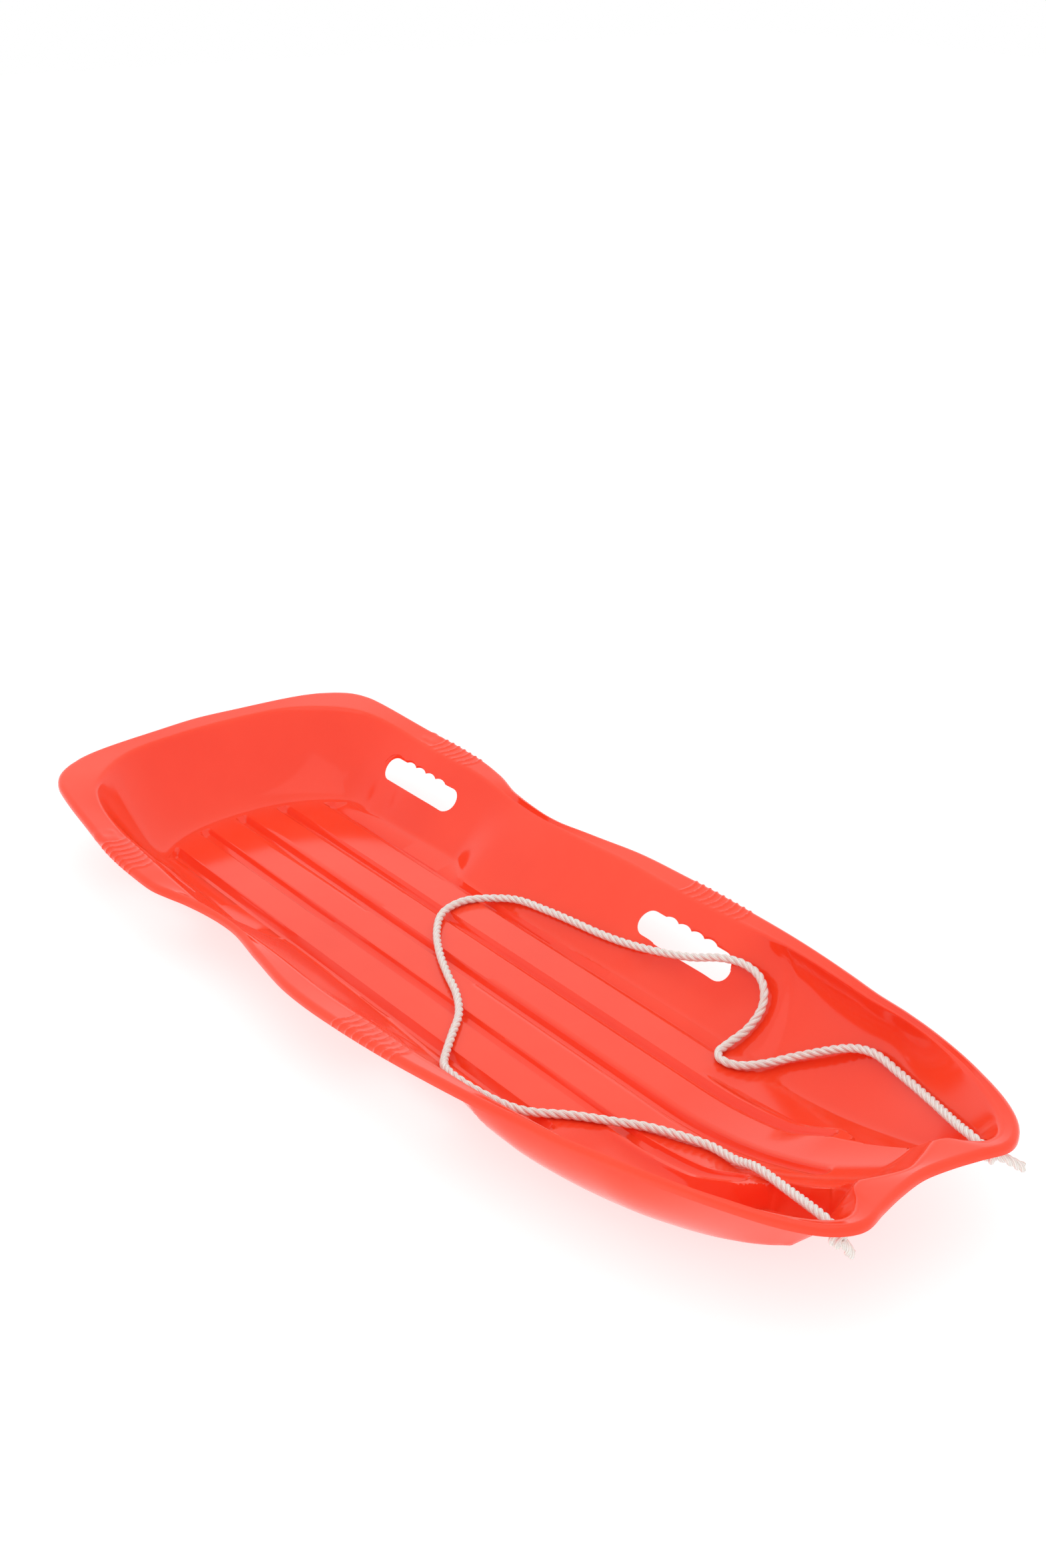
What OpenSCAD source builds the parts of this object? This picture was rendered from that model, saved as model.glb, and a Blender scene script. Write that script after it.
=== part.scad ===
// Two-rider moulded snow toboggan with a tow rope.
// +X is forward (the notched, roped nose), +Y is the sled's left, +Z is up.
// The origin is on the ground under the middle of the hull.

/* [Hull] */
// Length over the rim
hull_l = 1220; // [1000:10:1500]
// Width over the rim at the widest place
hull_w = 478; // [440:2:600]
// Height of the rim at the nose
nose_h = 113; // [95:1:140]
// Height of the rim at the tail
tail_h = 107; // [90:1:140]
// Height of the rim at the waist
waist_h = 78; // [70:1:95]
// Thickness of the moulded wall
wall_t = 3; // [2:0.25:4]
// Height of the inside of the floor above the ground
floor_h = 10; // [8:0.5:14]
// Floor left outside the outermost channel at the rear seat
rear_ledge = 24; // [16:1:34]
// Floor left outside the outermost channel at the waist
waist_ledge = 2; // [1:0.5:8]
// Floor left outside the outermost channel at the front seat
front_ledge = 9; // [6:0.5:16]

/* [Keels] */
// Number of keels under the floor, each a channel inside
keel_count = 5; // [5]
// Distance between keels
keel_pitch = 54.7; // [48:0.1:57]
// Width of a channel at the floor
channel_w = 15; // [13:0.5:18]
// Slope of a channel's side, measured across the sled
channel_draft = 3.5; // [2:0.25:4.5]

/* [Rim] */
// Radius of the rim's rounded outer edge
rim_round = 6; // [4.5:0.5:7]
// Height of the turned-down lip
lip_drop = 8; // [7:0.5:14]

/* [Handles] */
// Length of a handle slot
slot_l = 138; // [110:1:150]
// Width of a handle slot, up the wall
slot_w = 30; // [24:1:34]
// Place of the rear slots along the sled
rear_slot_x = -376; // [-400:1:-350]
// Place of the front slots along the sled
front_slot_x = 113; // [90:1:140]
// Height of the middle of the slots above the ground
slot_h = 54; // [48:0.5:58]
// Spacing of the finger scallops
finger_pitch = 20; // [18:0.5:24]
// Depth of the finger scallops
finger_depth = 3; // [1:0.5:4]

/* [Rope] */
// Diameter of the rope
rope_d = 9; // [6:0.5:10]
// Clearance round the rope in its holes
hole_clear = 1.5; // [1:0.25:2.5]
// Diameter of a stopper knot
knot_d = 18; // [16:0.5:20]

/* [Hidden] */

// Sizes that the outlines below are drawn to
drawn_l = 1220;
drawn_w = 478;
// Half-outline of the rim's outer edge, from the middle of the tail to the middle of the nose
rim_outer = [[-610, 0], [-605, 60], [-597, 130], [-590, 163], [-579, 188], [-562, 208], [-535, 220],
    [-440, 232], [-365, 239], [-290, 236], [-235, 221], [-163, 212], [-95, 222], [-20, 233], [70, 233],
    [150, 228], [250, 217], [350, 200], [430, 184], [500, 164], [555, 143], [587, 124], [604, 105],
    [610, 85], [603, 58], [597, 32], [593, 0]];
outer_tail_corner = 4;
outer_nose_corner = 22;
// Half-outline of the rim's inner edge, drawn the same way
rim_inner = [[-580, 0], [-577, 60], [-572, 98], [-562, 125], [-545, 152], [-518, 180], [-485, 195],
    [-440, 203], [-380, 206], [-300, 210], [-228, 208], [-160, 204], [-90, 204], [0, 207], [90, 204],
    [170, 203], [250, 199], [320, 191], [400, 180], [450, 170], [500, 155], [545, 134], [575, 114],
    [590, 95], [590, 79], [579, 65], [566, 55], [563, 46], [571, 24], [577, 0]];
inner_tail_corner = 4;
inner_nose_corner = 23;
// Share of the climb from the waist's rim to the tail's rim, along the sled
tail_climb = [[-610, 1], [-549, 0.93], [-500, 0.76], [-455, 0.55], [-410, 0.38], [-364, 0.32],
    [-319, 0.29], [-274, 0.16], [-228, 0], [-180, 0], [610, 0]];
// Share of the climb from the waist's rim to the nose's rim, along the sled
nose_climb = [[-610, 0], [-228, 0], [-183, 0], [-137, 0.06], [-47, 0.14], [44, 0.18], [134, 0.29],
    [225, 0.46], [317, 0.57], [361, 0.61], [407, 0.74], [498, 0.91], [570, 1], [610, 1]];

// How far the rim's outer edge stands above its inner edge, along the sled
rim_lift = [[-610, 2], [-500, 2], [-420, 3], [-300, 0], [-265, 2], [-215, 6], [-130, 3], [-60, 2],
    [20, 3], [100, 4], [230, 3], [350, 4], [500, 4], [610, 3]];

// The channels, measured from the middle of the sled
channel_edge = channel_w / 2;
channel_base = channel_edge - channel_draft;
channel_depth = floor_h - wall_t;
mid_channel = keel_pitch + channel_edge;
outer_channel = 2 * keel_pitch + channel_edge;
channel_ramp = 14;
middle_end = 489;
mid_end = 446;
outer_end = 242;

// The floor: where it starts and ends, and its half width along the sled
tail_foot = -510;
foot_bow = 48;
bow_fade = 170;
nose_foot = 540;
nose_foot_w = 100;
tail_floor_w = outer_channel + 13;
rear_floor_w = outer_channel + rear_ledge;
waist_floor_w = outer_channel + waist_ledge;
front_floor_w = outer_channel + front_ledge;
floor_width = [[-462, tail_floor_w], [-430, rear_floor_w - 5], [-361, rear_floor_w - 3],
    [-262, rear_floor_w + 1], [-248, rear_floor_w - 2], [-212, waist_floor_w + 3],
    [-180, waist_floor_w], [-40, waist_floor_w + 2], [80, front_floor_w], [240, front_floor_w],
    [320, front_floor_w - 2], [440, front_floor_w - 9], [500, front_floor_w - 16],
    [524, front_floor_w - 21], [540, nose_foot_w]];

// The nose: its middle and its foot pockets climb along circles
panel_start = 274;
panel_radius = 495;
pocket_start = 300;
pocket_radius = 525;
pocket_step = 252;
pocket_step_l = 42;
pocket_drop = 5;
nose_knee = mid_channel + 4;
pocket_side = 8;
narrow_side = channel_draft;
narrow_start = 430;
ridge_rise = 9;
ridge_start = 380;
ridge_full = 450;

// The ridge on the wall ahead of the front slot, and how far the wall stands out ahead of it
wall_ridge = 275;
wall_ridge_lean = 58;
wall_bulge = 5;
// How far the front wall bows outward between its foot and the rim, and where along the sled
belly = 20;
belly_start = 150;
belly_full = 240;
belly_fade = 400;
belly_end = 520;
// How far the lower wall beside the front seat's slots bows outward
toe = 12;
toe_start = 50;
toe_end = 190;
// How much the tail's wall hollows
tail_hollow = 0.8;

// Lines of the floor's grid along the sled
stations = [-510, -496, -480, -445, -400, -350, -300, -262, -248, -236, -224, -212, -190, -160, -100,
    -40, 20, 80, 140, 190, 228, 242, 262, 281, 300, 330, 360, 390, 415, 432, 446, 460, 475, 489, 506,
    523, 540];
grid_n = len(stations);
// Lines of the floor's grid across one half of the sled
half_lines = concat([channel_base, channel_edge], between(channel_edge, keel_pitch - channel_edge, 2),
    channel_lines(keel_pitch), [nose_knee, nose_knee + pocket_side],
    between(nose_knee + pocket_side, 2 * keel_pitch - channel_edge, 1),
    channel_lines(2 * keel_pitch), [front_floor_w]);
half_n = len(half_lines);
lines = concat([for (k = [half_n - 1 : -1 : 0]) -half_lines[k]], [0], half_lines);
line_n = len(lines);
ring_n = 2 * grid_n + 2 * line_n - 4;

// Rows of the wall, as shares of the way out from the floor to the rim
wall_rows = [0.25, 0.5, 0.74, 0.9, 0.975];

flange_start = 3;

function between(a, b, n) = [for (k = [1 : n]) a + (b - a) * k / (n + 1)];
function channel_lines(y) =
    [y - channel_edge, y - channel_base, y + channel_base, y + channel_edge];
function clamp(v) = max(0, min(1, v));
function smooth(v) = clamp(v) * clamp(v) * (3 - 2 * clamp(v));
function unit(v) = v / norm(v);

// Smooth curve through a list of [place, value] pairs
function segment(list, v, k = 0) =
    k >= len(list) - 2 || v <= list[k + 1][0] ? k : segment(list, v, k + 1);
function tangent(list, k) = k == 0 || k == len(list) - 1 ? 0
    : (list[k + 1][1] - list[k - 1][1]) / (list[k + 1][0] - list[k - 1][0]);
function hermite(a, b, ta, tb, f) = (1 + 2 * f) * (1 - f) * (1 - f) * a + f * (1 - f) * (1 - f) * ta
    + f * f * (3 - 2 * f) * b - f * f * (1 - f) * tb;
function curve(list, v) = let (k = segment(list, v), run = list[k + 1][0] - list[k][0])
    hermite(list[k][1], list[k + 1][1], tangent(list, k) * run, tangent(list, k + 1) * run,
        clamp((v - list[k][0]) / run));

// Point of a half-outline, a share f of the way from its corner k to the next
function corner_way(list, k) = k == 0 ? [0, 1]
    : k == len(list) - 1 ? [0, -1]
    : (list[k + 1] - list[k - 1]) / (norm(list[k + 1] - list[k]) + norm(list[k] - list[k - 1]));
function outline(list, k, f) = let (run = norm(list[k + 1] - list[k]))
    hermite(list[k], list[k + 1], corner_way(list, k) * run, corner_way(list, k + 1) * run, f);
// The same point, found from how far it is across (axis 1) or along (axis 0) the sled
function find_rising(list, axis, v, k, last) =
    k >= last - 1 || v <= list[k + 1][axis] ? k : find_rising(list, axis, v, k + 1, last);
function find_falling(list, axis, v, k, last) =
    k >= last - 1 || v >= list[k + 1][axis] ? k : find_falling(list, axis, v, k + 1, last);
function outline_at(list, axis, v, k) =
    outline(list, k, clamp((v - list[k][axis]) / (list[k + 1][axis] - list[k][axis])));
function sized(p, side) = [p[0] * hull_l / drawn_l, side * p[1] * hull_w / drawn_w];
function tail_edge(list, corner, share) = let (v = abs(share) * list[corner][1])
    sized(outline_at(list, 1, v, find_rising(list, 1, v, 0, corner)), share < 0 ? -1 : 1);
function nose_edge(list, corner, share) = let (v = abs(share) * list[corner][1])
    sized(outline_at(list, 1, v, find_falling(list, 1, v, corner, len(list) - 1)), share < 0 ? -1 : 1);
function side_edge(list, tail, nose, x, side) =
    let (back = pow(max(0, (-350 - x) / 112), 2), front = pow(max(0, (x - 430) / 110), 2),
        v = x + (list[tail][0] + 462) * back + (list[nose][0] - nose_foot) * front)
    sized(outline_at(list, 0, v, find_rising(list, 0, v, tail, nose)), side);
function rim_z(x) = let (v = x * drawn_l / hull_l)
    waist_h + (tail_h - waist_h) * curve(tail_climb, v) + (nose_h - waist_h) * curve(nose_climb, v);

// Height of the inside of the floor, channels and all
function channel_cut(i, across, end) = i == 0 || across > channel_base + 0.01 ? 0
    : channel_depth * clamp((end - stations[i]) / channel_ramp);
function channels(i, y) = channel_cut(i, y, middle_end)
    + channel_cut(i, abs(y - keel_pitch), mid_end) + channel_cut(i, abs(y - 2 * keel_pitch), outer_end);
function panel_z(x) = floor_h + pow(max(0, x - panel_start), 2) / (2 * panel_radius);
function pocket_z(x) = floor_h - pocket_drop * smooth((x - pocket_step) / pocket_step_l)
    + pow(max(0, x - pocket_start), 2) / (2 * pocket_radius);
function ridge_z(x, y) = ridge_rise * smooth((x - ridge_start) / (ridge_full - ridge_start))
    * pow(min(1, y / (keel_pitch - channel_edge)), 2);
function ground_z(x, y) = let (late = smooth((x - narrow_start) / (mid_end - narrow_start)),
        edge = nose_knee + (keel_pitch - channel_edge - nose_knee) * late,
        side = pocket_side + (narrow_side - pocket_side) * late, share = clamp((y - edge) / side))
    (panel_z(x) + ridge_z(x, y)) * (1 - share) + pocket_z(x) * share;

// Points of the floor's grid
function grid_y(i, j) = let (x = stations[i], a = abs(lines[j]), w = curve(floor_width, x),
        fit = (w - mid_channel) / (front_floor_w - mid_channel),
        pull = 1 + (fit - 1) * smooth((x - outer_end) / 58))
    sign(lines[j]) * (j == 0 || j == line_n - 1 ? w : a <= mid_channel ? a
        : mid_channel + (a - mid_channel) * pull);
function grid_x(i, y) = stations[i] + foot_bow * pow(abs(y) / tail_floor_w, 2.4)
    * max(0, 1 - (stations[i] - tail_foot) / bow_fade);
function grid_point(i, j) = let (y = grid_y(i, j), x = grid_x(i, y), a = abs(y))
    [x * hull_l / drawn_l, y, ground_z(stations[i], a) - channels(i, abs(lines[j]))];
grid = [for (i = [0 : grid_n - 1]) [for (j = [0 : line_n - 1]) grid_point(i, j)]];

// The loop round the grid: tail, left side, nose, right side
left_loop = line_n;
nose_loop = left_loop + grid_n - 1;
right_loop = nose_loop + line_n - 1;
function loop_i(n) = n < left_loop ? 0 : n < nose_loop ? n - left_loop + 1
    : n < right_loop ? grid_n - 1 : grid_n - 2 - n + right_loop;
function loop_j(n) = n < left_loop ? n : n < nose_loop ? line_n - 1
    : n < right_loop ? line_n - 2 - n + nose_loop : 0;
function inner_cell(v, count) = max(1, min(count - 2, v));

// A column of the wall and rim, out from point n of the loop
function edge_point(list, tail, nose, n) = let (i = loop_i(n), j = loop_j(n), y = grid_y(i, j))
    i == 0 ? tail_edge(list, tail, y / tail_floor_w)
    : i == grid_n - 1 ? nose_edge(list, nose, y / nose_foot_w)
    : side_edge(list, tail, nose, grid_x(i, y), sign(y));
function bulge(x, a) = let (d = x - wall_ridge + wall_ridge_lean * a,
        ahead = wall_bulge * smooth(d / 14) * (1 - smooth((d - 40) / 110)),
        bow = belly * smooth((x - belly_start) / (belly_full - belly_start))
            * (1 - smooth((x - belly_fade) / (belly_end - belly_fade))),
        low = toe * smooth(a / 0.15) * (1 - smooth((a - 0.15) / 0.45)),
        beside = smooth((x - toe_start) / 40) * (1 - smooth((x - toe_end) / 60)))
    4 * a * (1 - a) * (ahead + bow) + low * beside;
function column(n) = let (i = loop_i(n), foot = grid[i][loop_j(n)], x = foot[0] * drawn_l / hull_l,
        inner = edge_point(rim_inner, inner_tail_corner, inner_nose_corner, n),
        outer = edge_point(rim_outer, outer_tail_corner, outer_nose_corner, n),
        out = unit(outer - inner), w = norm(outer - inner), r = min(rim_round, 0.6 * w),
        start = inner + out * min(flange_start, 0.15 * w), top = rim_z(inner[0]),
        high = top + curve(rim_lift, inner[0] * drawn_l / hull_l),
        hollow = 1 + tail_hollow * smooth((-380 - x) / 80), turn = r * (1 - cos(45)))
    concat([for (a = wall_rows) [
            foot[0] + (inner[0] - foot[0]) * a,
            foot[1] + (inner[1] - foot[1]) * a + sign(foot[1]) * bulge(x, a),
            foot[2] + (top - foot[2]) * pow(a, hollow)]],
        [[start[0], start[1], top], concat(outer - out * r, high), concat(outer - out * turn, high - turn),
            concat(outer, high - r), concat(outer, high - lip_drop)]);
columns = [for (n = [0 : ring_n - 1]) column(n)];
ring_rows = len(columns[0]);

// Any point of the inside: row 0 is the loop itself
function wrap(n) = (n + ring_n) % ring_n;
function ring_point(r, n) = r == 0 ? grid[loop_i(n)][loop_j(n)] : columns[n][r - 1];
function ring_inward(r, n) = r > 0 ? ring_point(r - 1, n)
    : grid[inner_cell(loop_i(n), grid_n)][inner_cell(loop_j(n), line_n)];

// The outside stands wall_t away, square to the faces that meet at each point
function face_way(a, b) = unit(cross(a, b));
function stand_off(p, faces) = let (way = unit([1, 1, 1, 1] * faces),
        lean = ([1, 1, 1, 1] * [for (f = faces) f * way]) / 4)
    p - way * wall_t * min(1.5, 1 / lean);
function corner_faces(p, a, b, c, d) =
    [face_way(a - p, b - p), face_way(b - p, c - p), face_way(c - p, d - p), face_way(d - p, a - p)];
function edge_faces(p, a, b, d) = let (f = face_way(a - p, b - p), g = face_way(d - p, a - p))
    [f, f, g, g];
function on_ground(p) = [p[0], p[1], max(0, p[2])];
function under_grid(i, j) = let (p = grid[i][j])
    on_ground(stand_off(p, corner_faces(p, grid[i + 1][j], grid[i][j + 1], grid[i - 1][j],
        grid[i][j - 1])));
function under_ring(r, n) = let (p = ring_point(r, n), a = ring_inward(r, n),
        b = ring_point(r, wrap(n + 1)), d = ring_point(r, wrap(n - 1)))
    r < ring_rows ? on_ground(stand_off(p, corner_faces(p, a, b, ring_point(r + 1, n), d)))
    : let (q = stand_off(p, edge_faces(p, a, b, d))) [q[0], q[1], p[2]];

// All points: the grid, then the rings, first inside and then outside
grid_count = grid_n * line_n;
side_count = grid_count + ring_rows * ring_n;
function loop_index(i, j) = j == 0 && i > 0 && i < grid_n - 1 ? right_loop + grid_n - 2 - i
    : i == 0 ? j : j == line_n - 1 ? left_loop + i - 1 : nose_loop + line_n - 2 - j;
function on_edge(i, j) = i == 0 || j == 0 || i == grid_n - 1 || j == line_n - 1;
shell_points = concat([for (row = grid) each row],
    [for (r = [1 : ring_rows]) for (n = [0 : ring_n - 1]) ring_point(r, n)],
    [for (i = [0 : grid_n - 1]) for (j = [0 : line_n - 1])
        on_edge(i, j) ? under_ring(0, loop_index(i, j)) : under_grid(i, j)],
    [for (r = [1 : ring_rows]) for (n = [0 : ring_n - 1]) under_ring(r, n)]);
function grid_id(i, j) = i * line_n + j;
function ring_id(r, n) = r == 0 ? grid_id(loop_i(n), loop_j(n)) : grid_count + (r - 1) * ring_n + n;
function two(a, b, c, d) = [[a, b, c], [a, c, d]];
inside_faces = concat(
    [for (i = [0 : grid_n - 2]) for (j = [0 : line_n - 2])
        each j < line_n / 2 - 1
            ? two(grid_id(i, j + 1), grid_id(i + 1, j + 1), grid_id(i + 1, j), grid_id(i, j))
            : two(grid_id(i, j), grid_id(i, j + 1), grid_id(i + 1, j + 1), grid_id(i + 1, j))],
    [for (r = [0 : ring_rows - 1]) for (n = [0 : ring_n - 1])
        each two(ring_id(r, n), ring_id(r + 1, n), ring_id(r + 1, wrap(n + 1)), ring_id(r, wrap(n + 1)))]);
lip_faces = [for (n = [0 : ring_n - 1]) let (a = ring_id(ring_rows, n),
        b = ring_id(ring_rows, wrap(n + 1)))
    each two(a, a + side_count, b + side_count, b)];
shell_faces = concat(inside_faces, lip_faces,
    [for (f = inside_faces) [f[2] + side_count, f[1] + side_count, f[0] + side_count]]);

// The wall's slope at a place along the sled, for the slots that go square through it
function wall_foot(x) = curve(floor_width, x);
function wall_top(x) = side_edge(rim_inner, inner_tail_corner, inner_nose_corner, x, 1)[1];
function wall_rise(x) = rim_z(x) - floor_h;
function slot_share(x) = (slot_h - floor_h) / wall_rise(x);
function slot_y(x) = wall_foot(x) + (wall_top(x) - wall_foot(x)) * slot_share(x) + bulge(x, slot_share(x));
function slot_tilt(x) = atan2(wall_rise(x), wall_top(x) - wall_foot(x));
finger_r = (pow(finger_pitch / 2, 2) + pow(finger_depth, 2)) / (2 * finger_depth);
slot_reach = 12;

module slot_outline() {
    end = (slot_l - slot_w) / 2;
    hull() {
        translate([-end, 0])
            circle(d = slot_w, $fn = 24);
        translate([end, 0])
            circle(d = slot_w, $fn = 24);
    }
    for (k = [-1.5 : 1 : 1.5])
        translate([k * finger_pitch, slot_w / 2 + finger_depth - finger_r])
            circle(r = finger_r, $fn = 36);
}

module slot_cut(x, side) {
    translate([x, side * slot_y(x), slot_h])
        rotate([side * slot_tilt(x), 0, 0])
            scale([1, side, 1])
                linear_extrude(2 * slot_reach, center = true)
                    slot_outline();
}

module shell_mesh() {
    polyhedron(points = shell_points, faces = shell_faces, convexity = 8);
}

module rope_hole(side) {
    translate([hole_x, side * hole_y, hole_z])
        rotate([0, 90, 0])
            cylinder(h = 2 * hole_reach, d = rope_d + 2 * hole_clear, center = true, $fn = 24);
}

module hull_shell() {
    color("#f0402c")
        resize([0, 0, 0])
            difference() {
                shell_mesh();
                for (side = [-1, 1]) {
                    slot_cut(rear_slot_x, side);
                    slot_cut(front_slot_x, side);
                    rope_hole(side);
                }
            }
}

// The tow rope: its middle line from the left hole to the right hole, lying in the hull
hole_x = 575;
hole_y = 90;
hole_z = 97;
hole_reach = 16;
rope_route = [[582, 91, 96], [576, 90, 97], [562, 94, 96], [540, 106, 88], [485, 134, 73],
    [425, 157, 63], [388, 165, 61], [358, 163, 52], [312, 144, 27], [288, 124, 14], [274, 102, 13],
    [260, 93, 15], [247, 99, 15], [242, 117, 16], [246, 139, 27], [244, 159, 42], [234, 171, 55],
    [218, 177, 63], [195, 176, 66], [170, 169, 63], [138, 160, 52], [92, 150, 42], [50, 144, 35],
    [14, 139, 32], [-28, 135, 30], [-70, 131, 27], [-112, 125, 23], [-146, 111, 15], [-158, 84, 15],
    [-150, 50, 15], [-120, 20, 15], [-80, -5, 15], [-38, -25, 15], [0, -41, 15], [33, -62, 15],
    [60, -90, 15], [82, -113, 15], [100, -129, 18], [122, -142, 27], [145, -146, 30], [168, -139, 25],
    [190, -123, 15], [213, -112, 15], [243, -83, 15], [275, -58, 15], [300, -41, 16], [330, -30, 19],
    [365, -23, 24], [408, -31, 36], [447, -44, 56], [505, -64, 75], [562, -87, 96], [576, -90, 97],
    [582, -91, 96]];
ring_sides = 10;
ring_gap = 23.5;

// A smooth line through the route, with rings of points square to it
function route_way(list, k) = k == 0 ? unit(list[1] - list[0])
    : k == len(list) - 1 ? unit(list[k] - list[k - 1])
    : (list[k + 1] - list[k - 1]) / (norm(list[k + 1] - list[k]) + norm(list[k] - list[k - 1]));
function route_at(list, k, f) = let (run = norm(list[k + 1] - list[k]))
    hermite(list[k], list[k + 1], route_way(list, k) * run, route_way(list, k + 1) * run, f);
function smooth_route(list) = concat([for (k = [0 : len(list) - 2])
        let (steps = max(1, round(norm(list[k + 1] - list[k]) / ring_gap)))
        for (m = [0 : steps - 1]) route_at(list, k, m / steps)],
    [list[len(list) - 1]]);
function turned(v, way) = unit(v - way * (v * way));
function carried(line, k, side) = k == 0 ? [side]
    : let (before = carried(line, k - 1, side)) concat(before, [turned(before[k - 1], line_way(line, k))]);
function line_way(line, k) = unit(line[min(len(line) - 1, k + 1)] - line[max(0, k - 1)]);

module tube(line, d, sides) {
    count = len(line);
    side_ways = carried(line, count - 1, turned([0, 0, 1], line_way(line, 0)));
    points = [for (k = [0 : count - 1]) for (m = [0 : sides - 1])
        let (a = side_ways[k], b = cross(line_way(line, k), a), turn = m * 360 / sides)
        line[k] + (a * cos(turn) + b * sin(turn)) * d / 2];
    faces = concat([[for (m = [0 : sides - 1]) m]],
        [for (k = [0 : count - 2]) for (m = [0 : sides - 1])
            each two(k * sides + m, (k + 1) * sides + m, (k + 1) * sides + (m + 1) % sides,
                k * sides + (m + 1) % sides)],
        [[for (m = [sides - 1 : -1 : 0]) (count - 1) * sides + m]]);
    polyhedron(points = points, faces = faces, convexity = 10);
}

module tow_rope() {
    color("#ece8e0")
        tube(smooth_route(rope_route), rope_d, ring_sides);
}

// The stopper knots, under the rim outside the holes, and the tails that hang below them
knot_place = [588, 93, 92];
knot_core = 0.75;
tail_sunk = 5;
left_tail = [12, 28, -20];
right_tail = [2, 14, -22];

module stop_knot(side) {
    color("#ece8e0")
        translate([knot_place[0], side * knot_place[1], knot_place[2]]) {
            sphere(d = knot_d * knot_core, $fn = 32);
            rotate([0, 90, 0])
                rotate_extrude($fn = 32)
                    translate([(knot_d - rope_d) / 2 + 0.2, 0])
                        circle(d = rope_d, $fn = 20);
        }
}

module rope_end(side, way) {
    reach = norm(way);
    color("#ece8e0")
        translate([knot_place[0], side * knot_place[1], knot_place[2]])
            rotate([0, acos(way[2] / reach), atan2(way[1], way[0])])
                translate([0, 0, tail_sunk]) {
                    cylinder(h = reach - tail_sunk - rope_d / 2, d = rope_d, $fn = 24);
                    translate([0, 0, reach - tail_sunk - rope_d / 2])
                        sphere(d = rope_d, $fn = 24);
                }
}

module left_stop_knot() {
    stop_knot(1);
}

module right_stop_knot() {
    stop_knot(-1);
}

module left_rope_end() {
    rope_end(1, left_tail);
}

module right_rope_end() {
    rope_end(-1, right_tail);
}

hull_shell();
tow_rope();
left_stop_knot();
right_stop_knot();
left_rope_end();
right_rope_end();
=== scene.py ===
import math

import bmesh
import bpy
import numpy as np
from mathutils import Matrix, Vector


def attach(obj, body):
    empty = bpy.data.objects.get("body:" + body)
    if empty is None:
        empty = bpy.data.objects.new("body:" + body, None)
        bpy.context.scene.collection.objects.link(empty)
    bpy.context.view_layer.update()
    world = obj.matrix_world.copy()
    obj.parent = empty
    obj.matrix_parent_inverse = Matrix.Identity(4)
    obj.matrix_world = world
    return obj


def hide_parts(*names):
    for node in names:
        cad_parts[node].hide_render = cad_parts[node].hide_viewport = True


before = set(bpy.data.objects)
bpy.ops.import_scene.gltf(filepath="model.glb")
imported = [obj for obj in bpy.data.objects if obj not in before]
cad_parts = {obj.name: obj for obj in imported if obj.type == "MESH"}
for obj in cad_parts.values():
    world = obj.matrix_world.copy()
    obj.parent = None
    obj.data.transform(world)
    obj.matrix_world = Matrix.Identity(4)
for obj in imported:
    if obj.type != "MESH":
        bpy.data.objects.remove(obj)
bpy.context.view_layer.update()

# ---------------------------------------------------------------- sizes, millimetres
# x runs from the tail to the nose, y to the left, z up
FLOOR_H, WALL_T = 10.0, 3.0
# channels: spacing, half-width at the floor, how much narrower the bottom is, depth
PITCH, EDGE, DRAFT = 54.7, 7.5, 3.5
BASE = EDGE - DRAFT
DEPTH = 7.0
# extra half-width of a channel on the outside of the shell, where it is a keel
KEEL_GROW = 1.9
MID, OUTER = PITCH + EDGE, 2 * PITCH + EDGE
# half-widths of the floor at the tail, rear seat, waist and front
TAIL_W, REAR_W, WAIST_W, FRONT_W = OUTER + 13, OUTER + 24, OUTER + 2, OUTER + 9
TAIL_FOOT, FOOT_BOW, BOW_FADE = -510.0, 48.0, 170.0
NOSE_FOOT, NOSE_W = 540.0, 100.0
WAIST_H, TAIL_H, NOSE_H = 78.0, 107.0, 113.0
RIM_R, LIP = 6.0, 8.0

RIM_OUTER = np.array([[-610, 0], [-605, 60], [-597, 130], [-590, 163], [-579, 188], [-562, 208],
    [-535, 220], [-440, 232], [-365, 239], [-290, 236], [-235, 221], [-163, 212], [-95, 222],
    [-20, 233], [70, 233], [150, 228], [250, 217], [350, 200], [430, 184], [500, 164], [555, 143],
    [587, 124], [604, 105], [610, 85], [603, 58], [597, 32], [593, 0]], float)
RIM_INNER = np.array([[-580, 0], [-577, 60], [-572, 98], [-562, 125], [-545, 152], [-518, 180],
    [-485, 195], [-440, 203], [-380, 206], [-300, 210], [-228, 208], [-160, 204], [-90, 204],
    [0, 207], [90, 204], [170, 203], [250, 199], [320, 191], [400, 180], [450, 170], [500, 155],
    [545, 134], [575, 114], [590, 95], [590, 79], [579, 65], [566, 55], [563, 46], [571, 24],
    [577, 0]], float)
OUTER_CORNERS, INNER_CORNERS = (4, 22), (4, 23)
TAIL_CLIMB = [[-610, 1], [-549, 0.93], [-500, 0.76], [-455, 0.55], [-410, 0.38], [-364, 0.32],
    [-319, 0.29], [-274, 0.16], [-228, 0], [-180, 0], [610, 0]]
NOSE_CLIMB = [[-610, 0], [-228, 0], [-183, 0], [-137, 0.06], [-47, 0.14], [44, 0.18], [134, 0.29],
    [225, 0.46], [317, 0.57], [361, 0.61], [407, 0.74], [498, 0.91], [570, 1], [610, 1]]
RIM_LIFT = [[-610, 2], [-500, 2], [-420, 3], [-300, 0], [-265, 2], [-215, 6], [-130, 3], [-60, 2],
    [20, 3], [100, 4], [230, 3], [350, 4], [500, 4], [610, 3]]
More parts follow.
